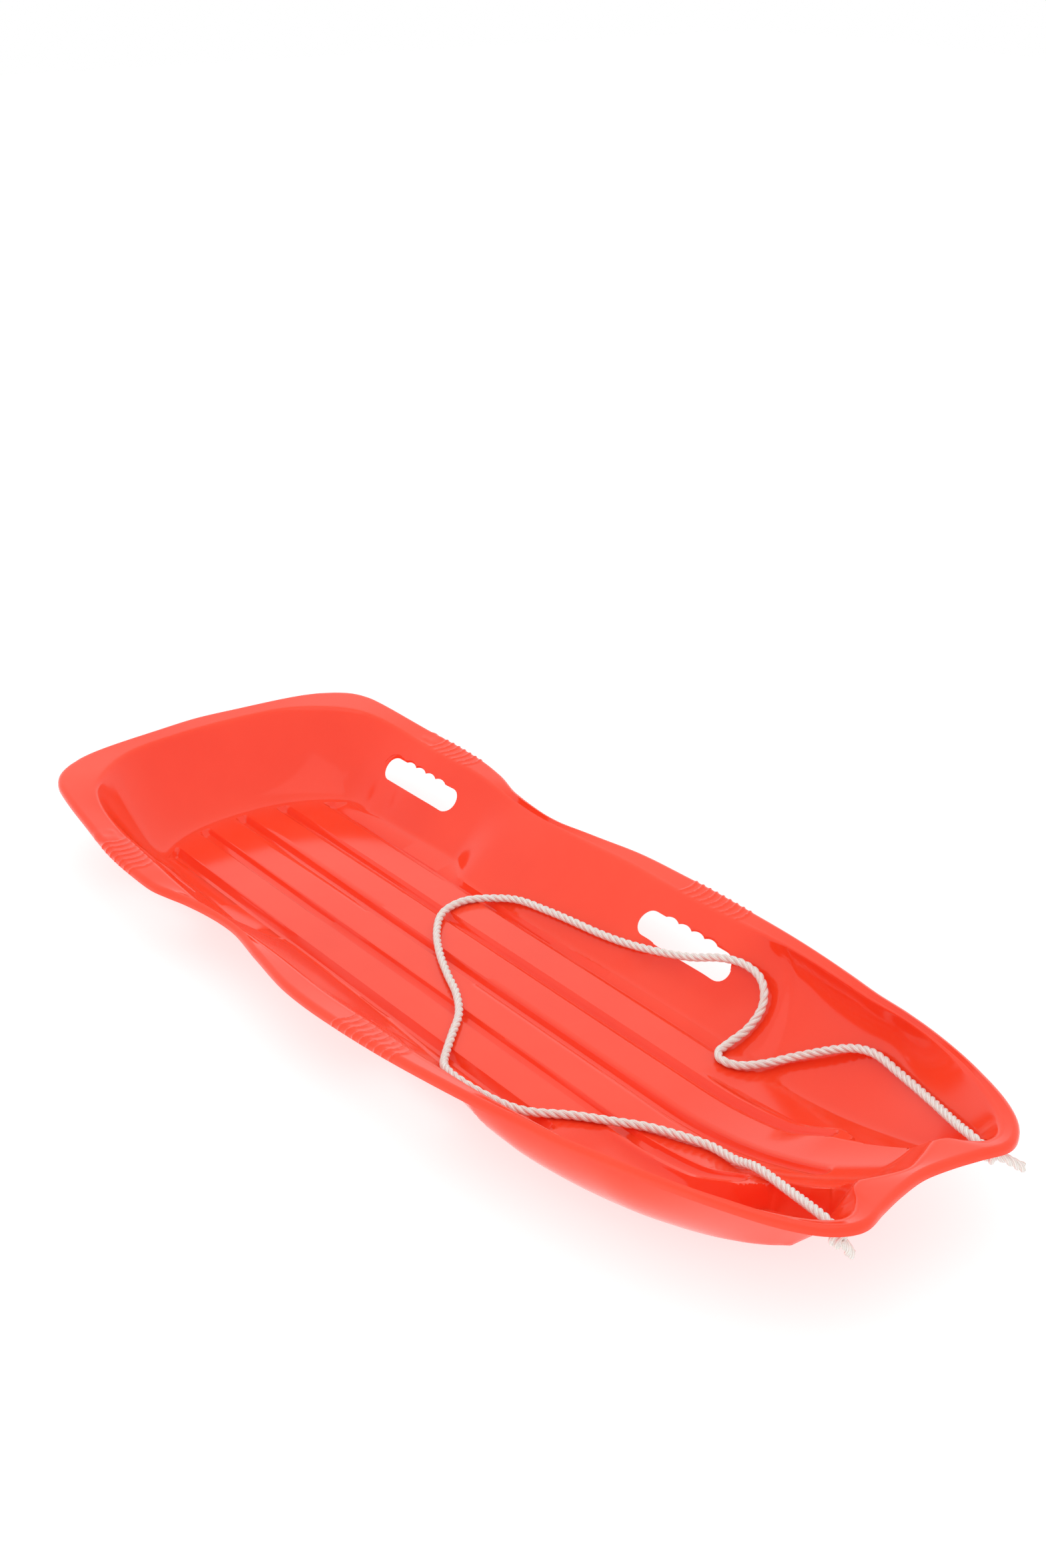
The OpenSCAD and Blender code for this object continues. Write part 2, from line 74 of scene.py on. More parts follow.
FLOOR_WIDTH = [[-462, TAIL_W], [-430, REAR_W - 5], [-361, REAR_W - 3], [-262, REAR_W + 1],
    [-248, REAR_W - 2], [-212, WAIST_W + 3], [-180, WAIST_W], [-40, WAIST_W + 2], [80, FRONT_W],
    [240, FRONT_W], [320, FRONT_W - 2], [440, FRONT_W - 9], [500, FRONT_W - 16],
    [524, FRONT_W - 21], [540, NOSE_W]]


def clamp(v):
    return np.clip(v, 0.0, 1.0)


def smooth(v):
    v = clamp(v)
    return v * v * (3 - 2 * v)


def unit(v):
    v = np.asarray(v, float)
    return v / np.maximum(np.linalg.norm(v, axis=-1, keepdims=True), 1e-9)


def hermite(a, b, ta, tb, f):
    return ((1 + 2 * f) * (1 - f) ** 2 * a + f * (1 - f) ** 2 * ta
            + f * f * (3 - 2 * f) * b - f * f * (1 - f) * tb)


class Curve:
    """Smooth value against place, level at both ends."""

    def __init__(self, pairs):
        p = np.array(pairs, float)
        self.x, self.y = p[:, 0], p[:, 1]
        self.t = np.zeros(len(p))
        self.t[1:-1] = (self.y[2:] - self.y[:-2]) / (self.x[2:] - self.x[:-2])

    def __call__(self, v):
        v = np.asarray(v, float)
        k = np.clip(np.searchsorted(self.x, v) - 1, 0, len(self.x) - 2)
        run = self.x[k + 1] - self.x[k]
        return hermite(self.y[k], self.y[k + 1], self.t[k] * run, self.t[k + 1] * run,
                       clamp((v - self.x[k]) / run))


class Outline:
    """Half-outline from the middle of the tail to the middle of the nose."""

    def __init__(self, points, corners):
        self.p, (self.tail, self.nose) = points, corners
        d = np.linalg.norm(np.diff(points, axis=0), axis=1)
        self.way = np.zeros_like(points)
        self.way[1:-1] = (points[2:] - points[:-2]) / (d[1:] + d[:-1])[:, None]
        self.way[0], self.way[-1] = [0, 1], [0, -1]
        self.d = d

    def at(self, axis, v, first, last):
        rising = self.p[last, axis] > self.p[first, axis]
        k = first
        while k < last - 1 and ((v > self.p[k + 1, axis]) if rising else (v < self.p[k + 1, axis])):
            k += 1
        a, b = self.p[k, axis], self.p[k + 1, axis]
        f = min(1.0, max(0.0, (v - a) / (b - a)))
        return hermite(self.p[k], self.p[k + 1], self.way[k] * self.d[k],
                       self.way[k + 1] * self.d[k], f)

    def end_edge(self, share, corner, first, last):
        q = self.at(1, abs(share) * self.p[corner, 1], first, last)
        return np.array([q[0], q[1] * (-1 if share < 0 else 1)])

    def tail_edge(self, share):
        return self.end_edge(share, self.tail, 0, self.tail)

    def nose_edge(self, share):
        return self.end_edge(share, self.nose, self.nose, len(self.p) - 1)

    def side_edge(self, x, side):
        back = max(0.0, (-350 - x) / 112) ** 2
        front = max(0.0, (x - 430) / 110) ** 2
        v = x + (self.p[self.tail, 0] + 462) * back + (self.p[self.nose, 0] - NOSE_FOOT) * front
        q = self.at(0, v, self.tail, self.nose)
        return np.array([q[0], q[1] * side])


floor_width = Curve(FLOOR_WIDTH)
tail_climb, nose_climb, rim_lift = Curve(TAIL_CLIMB), Curve(NOSE_CLIMB), Curve(RIM_LIFT)
rim_outer, rim_inner = Outline(RIM_OUTER, OUTER_CORNERS), Outline(RIM_INNER, INNER_CORNERS)


def rim_z(x):
    return WAIST_H + (TAIL_H - WAIST_H) * tail_climb(x) + (NOSE_H - WAIST_H) * nose_climb(x)


# ---------------------------------------------------------------- the floor
def soft_step(v):
    """0 to 1 like a straight ramp with its two ends rounded over."""
    v = clamp(v)
    r = 0.18
    up = 1 / (1 - r)
    return np.where(v < r, up * v * v / (2 * r),
                    np.where(v > 1 - r, 1 - up * (1 - v) ** 2 / (2 * r), up * (v - r / 2)))


def soft_max(a, b, r):
    d = np.clip(1 - np.abs(a - b) / r, 0, 1)
    return np.maximum(a, b) + d * d * r / 4


CHANNELS = [(0.0, 489.0), (PITCH, 446.0), (-PITCH, 446.0), (2 * PITCH, 242.0), (-2 * PITCH, 242.0)]


def channel_depth(x, y, grow=0.0):
    """Depth of the channels below the floor; grow widens them, for the outside of the shell."""
    out = np.zeros_like(x)
    for middle, end in CHANNELS:
        ahead = np.maximum(0.0, x - (end - EDGE))
        d = np.hypot(ahead, y - middle)
        cut = 1 - soft_step((d - BASE - grow + 0.8) / (DRAFT + 1.6))
        out = np.maximum(out, cut)
    return DEPTH * out


# where the raised panel between the pockets ends: along the front, and ahead of the middle keels
PANEL_EDGE, PANEL_NOSE_EDGE = 66.2, 47.2


def base_z(x, y):
    """Height of the floor without its channels: a panel that climbs, with a pocket on either side."""
    a = np.abs(y)
    late = smooth((x - 440) / 50)
    edge = PANEL_EDGE + (PANEL_NOSE_EDGE - PANEL_EDGE) * late
    side = 8 + (DRAFT - 8) * late
    share = soft_step((a - edge) / side)
    panel = FLOOR_H + np.maximum(0, x - 274) ** 2 / 990
    ridge = 9 * smooth((x - 380) / 70) * np.minimum(1, a / PANEL_NOSE_EDGE) ** 2
    pocket = FLOOR_H - 5 * smooth((x - 252) / 42) + np.maximum(0, x - 300) ** 2 / 1050
    return (panel + ridge) * (1 - share) + pocket * share


def bow(x, y):
    """How far forward the tail's foot line bends away from the middle."""
    return FOOT_BOW * (np.abs(y) / TAIL_W) ** 2.4 * np.maximum(0, 1 - (x - TAIL_FOOT) / BOW_FADE)


def subdivided(stops, step):
    out = []
    for a, b in zip(stops[:-1], stops[1:]):
        n = max(1, int(round((b - a) / (step(0.5 * (a + b)) if callable(step) else step))))
        out += [a + (b - a) * k / n for k in range(n)]
    return np.array(out + [stops[-1]])


def station_step(x):
    if -408 < x < -320 or 52 < x < 168:
        return 1.5
    if x < -480 or x > 420:
        return 2.5
    if 225 < x < 310 or -262 < x < -200:
        return 3.0
    return 5.0


FOOT_R = 5.0
stations = subdivided([TAIL_FOOT, -480, -408, -320, -262, -200, 52, 168, 225, 310, 420, NOSE_FOOT],
                      station_step)
stops = [0.0]
for c in (0.0, PITCH, 2 * PITCH):
    if c:
        stops += [c - EDGE - 1.2, c - BASE + 1.2]
    stops += [c + BASE - 1.2, c + EDGE + 1.2]
    if c == PITCH:
        stops += [PANEL_EDGE, PANEL_EDGE + 8]
stops = sorted(set(stops)) + [FRONT_W]


def line_step(y):
    for c in (0.0, PITCH, 2 * PITCH):
        if BASE - 1.3 < abs(y - c) < EDGE + 1.3:
            return 1.0
    if 66 < y < 75:
        return 2.0
    return 6.0


half = subdivided(stops, line_step)
lines = np.concatenate([-half[:0:-1], half])
NI, NJ = len(stations), len(lines)


def grid_y(x, j, margin):
    a, w = np.abs(lines[j]), floor_width(x)
    pull = 1 + ((w - MID) / (FRONT_W - MID) - 1) * smooth((x - 242) / 58)
    y = np.where(a <= MID, a, MID + (a - MID) * pull)
    y = np.where(a >= FRONT_W - 1e-6, w, np.minimum(y, w - 0.5))
    return np.sign(lines[j]) * y * (w - margin) / w


def grid_xy(i, j, margin):
    x0 = stations[i]
    y = grid_y(x0, j, margin)
    x = x0 + bow(x0, y)
    x = x + margin * (smooth((TAIL_FOOT + 40 - x0) / 40) - smooth((x0 - NOSE_FOOT + 40) / 40))
    return x, y


I, J = np.meshgrid(np.arange(NI), np.arange(NJ), indexing="ij")
gx, gy = grid_xy(I, J, FOOT_R)
fx, fy = grid_xy(I, J, 0.0)
G = np.stack([gx, gy, base_z(gx, gy)], -1)
F = np.stack([fx, fy, base_z(fx, fy)], -1)

loop = ([(0, j) for j in range(NJ)] + [(i, NJ - 1) for i in range(1, NI)]
        + [(NI - 1, j) for j in range(NJ - 2, -1, -1)] + [(i, 0) for i in range(NI - 2, 0, -1)])
RN = len(loop)


# ---------------------------------------------------------------- walls, rim and grips
def bulge(x, a):
    """How far the side wall bows outward at place x and share a of its climb."""
    d = x - 275 + 58 * a
    ahead = 5 * smooth(d / 14) * (1 - smooth((d - 40) / 110))
    belly = 20 * smooth((x - 150) / 90) * (1 - smooth((x - 400) / 120))
    toe = 12 * smooth(a / 0.15) * (1 - smooth((a - 0.15) / 0.45))
    beside = smooth((x - 50) / 40) * (1 - smooth((x - 190) / 60))
    return 4 * a * (1 - a) * (ahead + belly) + toe * beside


def fillet(a, corner, b, n):
    t = (np.arange(n + 1) / n)[:, None]
    return (1 - t) ** 2 * a + 2 * t * (1 - t) * corner + t * t * b


# rows of points up a column: foot fillet, wall, fillet to the rim, flat, rounded edge, lip
FOOT_ROWS, WALL_ROWS, LEAD_ROWS, FLAT_ROWS, TURN_ROWS, LIP_ROWS = 4, 14, 6, 10, 6, 2


def column(n):
    """Points up the wall and across the rim at place n of the loop, with the rim's two edges."""
    i, j = loop[n]
    foot, start = F[i, j], G[i, j]
    y = fy[i, j]
    if i == 0:
        inner, outer = rim_inner.tail_edge(y / TAIL_W), rim_outer.tail_edge(y / TAIL_W)
    elif i == NI - 1:
        inner, outer = rim_inner.nose_edge(y / NOSE_W), rim_outer.nose_edge(y / NOSE_W)
    else:
        s = 1.0 if y > 0 else -1.0
        inner, outer = rim_inner.side_edge(fx[i, j], s), rim_outer.side_edge(fx[i, j], s)
    out = unit(outer - inner)
    w = float(np.linalg.norm(outer - inner))
    r = min(RIM_R, 0.6 * w)
    top = float(rim_z(inner[0]))
    crest = top + float(rim_lift(inner[0]))
    hollow = 1 + 0.8 * float(smooth((-380 - foot[0]) / 80))

    def wall(a):
        p = foot + (np.array([inner[0], inner[1], top]) - foot) * a
        p[2] = foot[2] + (top - foot[2]) * a ** hollow
        p[1] += math.copysign(float(bulge(foot[0], a)), foot[1]) if abs(foot[1]) > 1 else 0
        return p

    height = float(np.linalg.norm(wall(1.0) - foot))
    low, high = FOOT_R / height, 1 - 5.0 / height
    rows = list(fillet(start, foot, wall(low), FOOT_ROWS)[1:])
    rows += [wall(low + (high - low) * k / WALL_ROWS) for k in range(1, WALL_ROWS + 1)]
    lead = min(4.0, 0.2 * w)
    flat = np.array([*(inner + out * lead), top])
    rows += list(fillet(rows[-1], wall(1.0), flat, LEAD_ROWS)[1:])
    edge = np.array([*(outer - out * r), crest])
    rows += [flat + (edge - flat) * k / FLAT_ROWS for k in range(1, FLAT_ROWS + 1)]
    for t in np.arange(1, TURN_ROWS + 1) * (math.pi / 2) / TURN_ROWS:
        rows.append(np.array([*(outer - out * r * (1 - math.sin(t))), crest - r * (1 - math.cos(t))]))
    for k in range(1, LIP_ROWS + 1):
        rows.append(np.array([*outer, crest - r - (LIP - r) * k / LIP_ROWS]))
    return rows, inner, outer


made = [column(n) for n in range(RN)]
ROWS = len(made[0][0])
R = np.array([m[0] for m in made]).transpose(1, 0, 2)   # row, column, xyz


def grid_id(i, j):
    return i * NJ + j


loop_ids = np.array([grid_id(i, j) for i, j in loop])
ring_ids = np.concatenate([loop_ids[None], NI * NJ + np.arange(ROWS * RN).reshape(ROWS, RN)])
P = np.concatenate([G.reshape(-1, 3), R.reshape(-1, 3)])

gi = np.arange(NI * NJ).reshape(NI, NJ)
quads = np.concatenate([
    np.stack([gi[:-1, :-1], gi[1:, :-1], gi[1:, 1:], gi[:-1, 1:]], -1).reshape(-1, 4),
    np.stack([ring_ids[:-1], np.roll(ring_ids[:-1], -1, 1), np.roll(ring_ids[1:], -1, 1),
              ring_ids[1:]], -1).reshape(-1, 4)])


def vertex_normals(points, faces):
    a, b, c, d = (points[faces[:, k]] for k in range(4))
    n = np.cross(c - a, d - b)
    out = np.zeros_like(points)
    for k in range(4):
        np.add.at(out, faces[:, k], n)
    return unit(out)


N = vertex_normals(P, quads)
under = P - N * WALL_T
under[:, 2] = np.maximum(under[:, 2], 0.0)
last = ring_ids[-1]
under[last, 2] = P[last, 2]

# channels and their keels
xs, ys = P[: NI * NJ, 0], P[: NI * NJ, 1]
tail_gap = xs - (TAIL_FOOT + bow(np.full_like(xs, TAIL_FOOT), ys))
ramp = smooth(tail_gap / 9.0)
top = P.copy()
top[: NI * NJ, 2] -= channel_depth(xs, ys) * ramp
ux, uy = under[: NI * NJ, 0], under[: NI * NJ, 1]
under[: NI * NJ, 2] -= channel_depth(ux, uy, KEEL_GROW) * ramp

# grip ridges: arcs across the rim that bow forward in the middle, running over its edge
GRIPS = [(-424.0, -325.0), (60.0, 159.0)]
GRIP_PITCH, GRIP_BOW, GRIP_HEIGHT = 11.0, 5.5, 1.2
inner = np.array([m[1] for m in made])
outer = np.array([m[2] for m in made])
first_flat = FOOT_ROWS + WALL_ROWS + LEAD_ROWS // 2
for row in range(first_flat, ROWS - 1):
    ids = NI * NJ + row * RN + np.arange(RN)
    p = top[ids]
    share = clamp(((p[:, :2] - inner) * (outer - inner)).sum(1) / ((outer - inner) ** 2).sum(1))
    for lo, hi in GRIPS:
        side = (np.abs(p[:, 1]) > 150) & (p[:, 0] > lo - 14) & (p[:, 0] < hi + 14)
        u = p[:, 0] - GRIP_BOW * (1 - (2 * share - 1) ** 2) - lo
        phase = (u / GRIP_PITCH) % 1.0
        inside = smooth((u + 3) / 3) * smooth((hi - lo + 3 - u) / 3)
        ridge = np.clip(1 - np.abs(phase - 0.5) / 0.24, 0, 1)
        ridge = smooth(ridge) * inside * side * smooth(share / 0.12)
        top[ids] += N[ids] * (GRIP_HEIGHT * ridge)[:, None]

COUNT = len(P)
lip = np.stack([last, np.roll(last, -1), np.roll(last, -1) + COUNT, last + COUNT], -1)
faces = np.concatenate([quads, lip, quads[:, ::-1] + COUNT])
verts = np.concatenate([top, under]) / 1000.0


def mesh_object(name, v, f):
    mesh = bpy.data.meshes.new(name)
    mesh.vertices.add(len(v))
    mesh.vertices.foreach_set("co", np.asarray(v, np.float32).ravel())
    f = np.asarray(f)
    mesh.loops.add(f.size)
    mesh.loops.foreach_set("vertex_index", f.ravel().astype(np.int32))
    mesh.polygons.add(len(f))
    mesh.polygons.foreach_set("loop_start", np.arange(0, f.size, f.shape[1], dtype=np.int32))
    mesh.update(calc_edges=True)
    mesh.validate()
    obj = bpy.data.objects.new(name, mesh)
    bpy.context.scene.collection.objects.link(obj)
    return obj


hull = mesh_object("hull_moulding", verts, faces)

# ---------------------------------------------------------------- slots and rope holes
SLOT_L, SLOT_W, SLOT_H = 138.0, 30.0, 54.0
REAR_SLOT, FRONT_SLOT = -376, 113
FINGER_PITCH, FINGER_DEPTH = 20.0, 3.0
HOLE_Y, HOLE_Z, HOLE_R = 90, 97, 6.0


def slot_outline(offset):
    """Stadium with four finger scallops along its upper edge, grown by offset, one point per ray."""
    fr = ((FINGER_PITCH / 2) ** 2 + FINGER_DEPTH ** 2) / (2 * FINGER_DEPTH)
    half_l, rad = (SLOT_L - SLOT_W) / 2, SLOT_W / 2
    pts = []
    for t in np.linspace(0, math.pi, 17):
        pts.append((half_l + (rad + offset) * math.sin(t), -(rad + offset) * math.cos(t)))
    for x in np.arange(half_l - 1.0, -half_l, -1.0):
        y = rad
        for k in (-1.5, -0.5, 0.5, 1.5):
            d = x - k * FINGER_PITCH
            if abs(d) < fr:
                y = max(y, rad + FINGER_DEPTH - fr + math.sqrt(fr * fr - d * d))
        pts.append((x, y + offset))
    for t in np.linspace(0, math.pi, 17):
        pts.append((-half_l - (rad + offset) * math.sin(t), (rad + offset) * math.cos(t)))
    for x in np.arange(-half_l + 3.0, half_l - 1.0, 3.0):
        pts.append((x, -(rad + offset)))
    return np.array(pts)


def prism(name, rings):
    """Closed solid through rings of points that all have the same count."""
    n, back = len(rings[0]), (len(rings) - 1) * len(rings[0])
    v = np.concatenate(rings)
    f = []
    for k in range(len(rings) - 1):
        for m in range(n):
            f.append((k * n + m, k * n + (m + 1) % n, (k + 1) * n + (m + 1) % n, (k + 1) * n + m))
    mesh = bpy.data.meshes.new(name)
    mesh.from_pydata([tuple(p) for p in v / 1000.0], [],
                     f + [tuple(range(n - 1, -1, -1)), tuple(back + m for m in range(n))])
    mesh.update()
    obj = bpy.data.objects.new(name, mesh)
    bpy.context.scene.collection.objects.link(obj)
    return obj


def slot_cutter(name, x, side):
    """Cutter square to the wall. Each ring is a level along it and how much the outline grows there."""
    foot, rim = float(floor_width(x)), float(rim_inner.side_edge(x, 1)[1])
    top = float(rim_z(x))
    share = (SLOT_H - FLOOR_H) / (top - FLOOR_H)
    y = foot + (rim - foot) * share + float(bulge(x, share))
    up = unit(np.array([0, rim - foot, top - FLOOR_H]))
    out = np.array([0, -up[2], up[1]])           # away from the wall, into the hull
    rings = []
    for level, offset in ((9.0, 4.0), (1.3, 4.0), (0.5, 1.6), (0.0, 0.8), (-0.6, 0.25), (-1.4, 0.0),
                          (-2.0, 0.1), (-2.7, 0.6), (-3.2, 1.5), (-12.0, 4.0)):
        o = slot_outline(offset)
        p = np.array([x, y, SLOT_H]) + o[:, :1] * np.array([1, 0, 0]) + o[:, 1:] * up + level * out
        p[:, 1] *= side
        rings.append(p)
    if side > 0:
        rings = rings[::-1]
    return prism(name, rings)


def hole_cutter(name, side):
    t = np.linspace(0, 2 * math.pi, 33)[:-1]
    rings = [np.stack([np.full_like(t, x), side * HOLE_Y + HOLE_R * np.cos(t),
                       HOLE_Z + HOLE_R * np.sin(t)], -1) for x in (559.0, 591.0)]
    return prism(name, rings)


def face_outward(mesh):
    bm = bmesh.new()
    bm.from_mesh(mesh)
    bmesh.ops.recalc_face_normals(bm, faces=bm.faces)
    bm.to_mesh(mesh)
    bm.free()


cutters = [slot_cutter("cut_a", REAR_SLOT, 1), slot_cutter("cut_b", REAR_SLOT, -1),
           slot_cutter("cut_c", FRONT_SLOT, 1), slot_cutter("cut_d", FRONT_SLOT, -1),
           hole_cutter("cut_e", 1), hole_cutter("cut_f", -1)]
for cutter in cutters:
    face_outward(cutter.data)
    mod = hull.modifiers.new(cutter.name, "BOOLEAN")
    mod.operation = "DIFFERENCE"
    mod.solver = "MANIFOLD"
    mod.object = cutter
dg = bpy.context.evaluated_depsgraph_get()
cut_mesh = bpy.data.meshes.new_from_object(hull.evaluated_get(dg), depsgraph=dg)
hull.modifiers.clear()
hull.data = cut_mesh
for cutter in cutters:
    bpy.data.objects.remove(cutter)
hull.data.shade_smooth()
hull.data.set_sharp_from_angle(angle=math.radians(38))
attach(hull, "root")
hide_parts("hull_shell")

# ---------------------------------------------------------------- the rope
ROUTE = np.array([[582, 91, 96], [576, 90, 97], [562, 94, 96], [540, 106, 88], [485, 134, 73],
    [425, 157, 63], [388, 165, 61], [358, 163, 52], [312, 144, 27], [288, 124, 14], [274, 102, 13],
    [260, 93, 15], [247, 99, 15], [242, 117, 16], [246, 139, 27], [244, 159, 42], [234, 171, 55],
    [218, 177, 63], [195, 176, 66], [170, 169, 63], [138, 160, 52], [92, 150, 42], [50, 144, 35],
    [14, 139, 32], [-28, 135, 30], [-70, 131, 27], [-112, 125, 23], [-146, 111, 15], [-158, 84, 15],
    [-150, 50, 15], [-120, 20, 15], [-80, -5, 15], [-38, -25, 15], [0, -41, 15], [33, -62, 15],
    [60, -90, 15], [82, -113, 15], [100, -129, 18], [122, -142, 27], [145, -146, 30], [168, -139, 25],
    [190, -123, 15], [213, -112, 15], [243, -83, 15], [275, -58, 15], [300, -41, 16], [330, -30, 19],
    [365, -23, 24], [408, -31, 36], [447, -44, 56], [505, -64, 75], [562, -87, 96], [576, -90, 97],
    [582, -91, 96]], float)


def smooth_line(points, step):
    """Points along a smooth curve through the given ones, step apart."""
    p = np.asarray(points, float)
    d = np.linalg.norm(np.diff(p, axis=0), axis=1)
    way = np.zeros_like(p)
    way[1:-1] = (p[2:] - p[:-2]) / (d[1:] + d[:-1])[:, None]
    way[0], way[-1] = unit(p[1] - p[0]), unit(p[-1] - p[-2])
    out = []
    for k in range(len(p) - 1):
        t = np.linspace(0, 1, 24, endpoint=False)[:, None]
        out.append(hermite(p[k], p[k + 1], way[k] * d[k], way[k + 1] * d[k], t))
    out = np.concatenate(out + [p[-1:]])
    s = np.concatenate([[0], np.cumsum(np.linalg.norm(np.diff(out, axis=0), axis=1))])
    n = max(2, int(round(s[-1] / step)))
    u = np.linspace(0, s[-1], n + 1)
    return np.stack([np.interp(u, s, out[:, k]) for k in range(3)], -1), s[-1]


def frames(line):
    way = unit(np.gradient(line, axis=0))
    side = np.zeros_like(line)
    start = np.array([0, 0, 1.0])
    side[0] = unit(start - way[0] * (start @ way[0]))
    for k in range(1, len(line)):
        v = side[k - 1] - way[k] * (side[k - 1] @ way[k])
        side[k] = v / np.linalg.norm(v)
    return way, side, np.cross(way, side)


# length of one turn of the strands, a strand's radius and how far its core lies from the middle
LAY = 29.0
STRAND_R, HELIX_R = 2.42, 2.08


def twisted(name, line, sides=12, swell=None, turn0=0.0):
    """Three strands laid round a line; swell widens the lay towards frayed ends."""
    way, a, b = frames(line)
    s = np.concatenate([[0], np.cumsum(np.linalg.norm(np.diff(line, axis=0), axis=1))])
    grow = np.ones(len(line)) if swell is None else swell(s, s[-1])
    thick = (STRAND_R * np.minimum(grow, 1.05))[:, None]
    count = len(line)
    points, tubes, rings = [], [], []
    for k in range(3):
        phase = turn0 + 2 * math.pi * (s / LAY + k / 3)
        radial = a * np.cos(phase)[:, None] + b * np.sin(phase)[:, None]
        core = line + radial * (HELIX_R * grow)[:, None]
        t = unit(np.gradient(core, axis=0))
        n1 = unit(radial - t * (radial * t).sum(1, keepdims=True))
        n2 = np.cross(t, n1)
        for m in range(sides):
            q = 2 * math.pi * m / sides
            points.append(core + (n1 * math.cos(q) + n2 * math.sin(q)) * thick)
        idx = k * count * sides + np.arange(sides * count).reshape(sides, count)
        beside = np.roll(idx, -1, 0)
        tubes.append(np.stack([idx[:, :-1], beside[:, :-1], beside[:, 1:], idx[:, 1:]],
                              -1).reshape(-1, 4))
        rings += [idx[:, 0], idx[:, -1]]
    points = np.concatenate(points)
    # close the strands' ends
    centres, fans = [], []
    for ring in rings:
        centre_id = len(points) + len(centres)
        centres.append(points[ring].mean(0))
        for m in range(sides):
            fans.append((int(ring[m]), int(ring[(m + 1) % sides]), centre_id))
    mesh = bpy.data.meshes.new(name)
    mesh.from_pydata([tuple(p) for p in np.concatenate([points, np.array(centres)]) / 1000.0], [],
                     [tuple(int(i) for i in q) for q in np.concatenate(tubes)] + fans)
    mesh.update()
    # lengthwise and round-the-strand coordinates for the yarns
    flat_caps = np.zeros(len(centres))
    along = np.concatenate([np.tile(s, sides * 3), flat_caps])
    around = np.concatenate([np.repeat(np.tile(np.arange(sides) / sides, 3), count), flat_caps])
    for word, values in (("along", along), ("around", around)):
        attribute = mesh.attributes.new(word, "FLOAT", "POINT")
        attribute.data.foreach_set("value", values.astype(np.float32))
    obj = bpy.data.objects.new(name, mesh)
    bpy.context.scene.collection.objects.link(obj)
    face_outward(mesh)
    mesh.shade_smooth()
    return obj


rope_line, rope_length = smooth_line(ROUTE, 1.6)
rope = twisted("rope_laid", rope_line)
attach(rope, "root")
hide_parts("tow_rope")

# stopper knots and tails
KNOT = np.array([588.0, 93.0, 92.0])
COIL_TURNS, COIL_R, COIL_L = 1.55, 4.9, 6.4
rope_pieces = []
for side, word, tail in ((1, "left", (12, 28, -20)), (-1, "right", (2, 14, -22))):
    centre = KNOT * [1, side, 1]
    t = np.linspace(0, 2 * math.pi * COIL_TURNS, 60)
    coil = np.stack([centre[0] - COIL_L / 2 + COIL_L * t / t[-1], centre[1] + COIL_R * np.cos(t + 1.2),
                     centre[2] + COIL_R * np.sin(t + 1.2)], -1)
    knot_line, _ = smooth_line(coil[::4], 1.2)
    knot = twisted(word + "_knot_laid", knot_line)
    tail = np.array(tail, float)
    d = tail / np.linalg.norm(tail)
    start, end = centre + d * 3.0, centre + tail
    tail_line, _ = smooth_line([start, start + (end - start) * 0.35 + np.array([1.5, 0, 1.0]),
                                start + (end - start) * 0.7 + np.array([1.0, 0, 0.6]), end], 1.0)
    tail_rope = twisted(word + "_tail_laid", tail_line,
                        swell=lambda s, total: 1 + 0.15 * smooth((s - total + 8) / 8), turn0=1.0)
    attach(knot, "root")
    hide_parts(word + "_stop_knot")
    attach(tail_rope, "root")
    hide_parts(word + "_rope_end")
    rope_pieces += [knot, tail_rope]


# ---------------------------------------------------------------- materials
def node(tree, kind, **inputs):
    n = tree.nodes.new(kind)
    for name, value in inputs.items():
        n.inputs[name.replace("_", " ")].default_value = value
    return n


def colours(tree, low, low_colour, high, high_colour):
    ramp = tree.nodes.new("ShaderNodeValToRGB")
    for stop, (place, colour) in zip(ramp.color_ramp.elements, ((low, low_colour), (high, high_colour))):
        stop.position = place
        stop.color = (*colour, 1)
    return ramp


def plastic():
    m = bpy.data.materials.new("red_hdpe")
    m.use_nodes = True
    t = m.node_tree
    bsdf = t.nodes["Principled BSDF"]
    where = t.nodes.new("ShaderNodeTexCoord")
    wide = node(t, "ShaderNodeTexNoise", Scale=7.0, Detail=3.0, Roughness=0.5)
    fine = node(t, "ShaderNodeTexNoise", Scale=420.0, Detail=2.0, Roughness=0.5)
    t.links.new(where.outputs["Object"], wide.inputs["Vector"])
    t.links.new(where.outputs["Object"], fine.inputs["Vector"])
    tint = colours(t, 0.3, (0.94, 0.052, 0.016), 0.7, (0.99, 0.064, 0.022))
    t.links.new(wide.outputs["Fac"], tint.inputs["Fac"])
    t.links.new(tint.outputs["Color"], bsdf.inputs["Base Color"])
    bump = node(t, "ShaderNodeBump", Strength=0.03, Distance=0.0005)
    t.links.new(fine.outputs["Fac"], bump.inputs["Height"])
    t.links.new(bump.outputs["Normal"], bsdf.inputs["Normal"])
    bsdf.inputs["Roughness"].default_value = 0.12
    bsdf.inputs["Specular IOR Level"].default_value = 0.42
    bsdf.inputs["IOR"].default_value = 1.5
    bsdf.inputs["Subsurface Weight"].default_value = 0.12
    bsdf.inputs["Subsurface Radius"].default_value = (0.02, 0.004, 0.002)
    return m


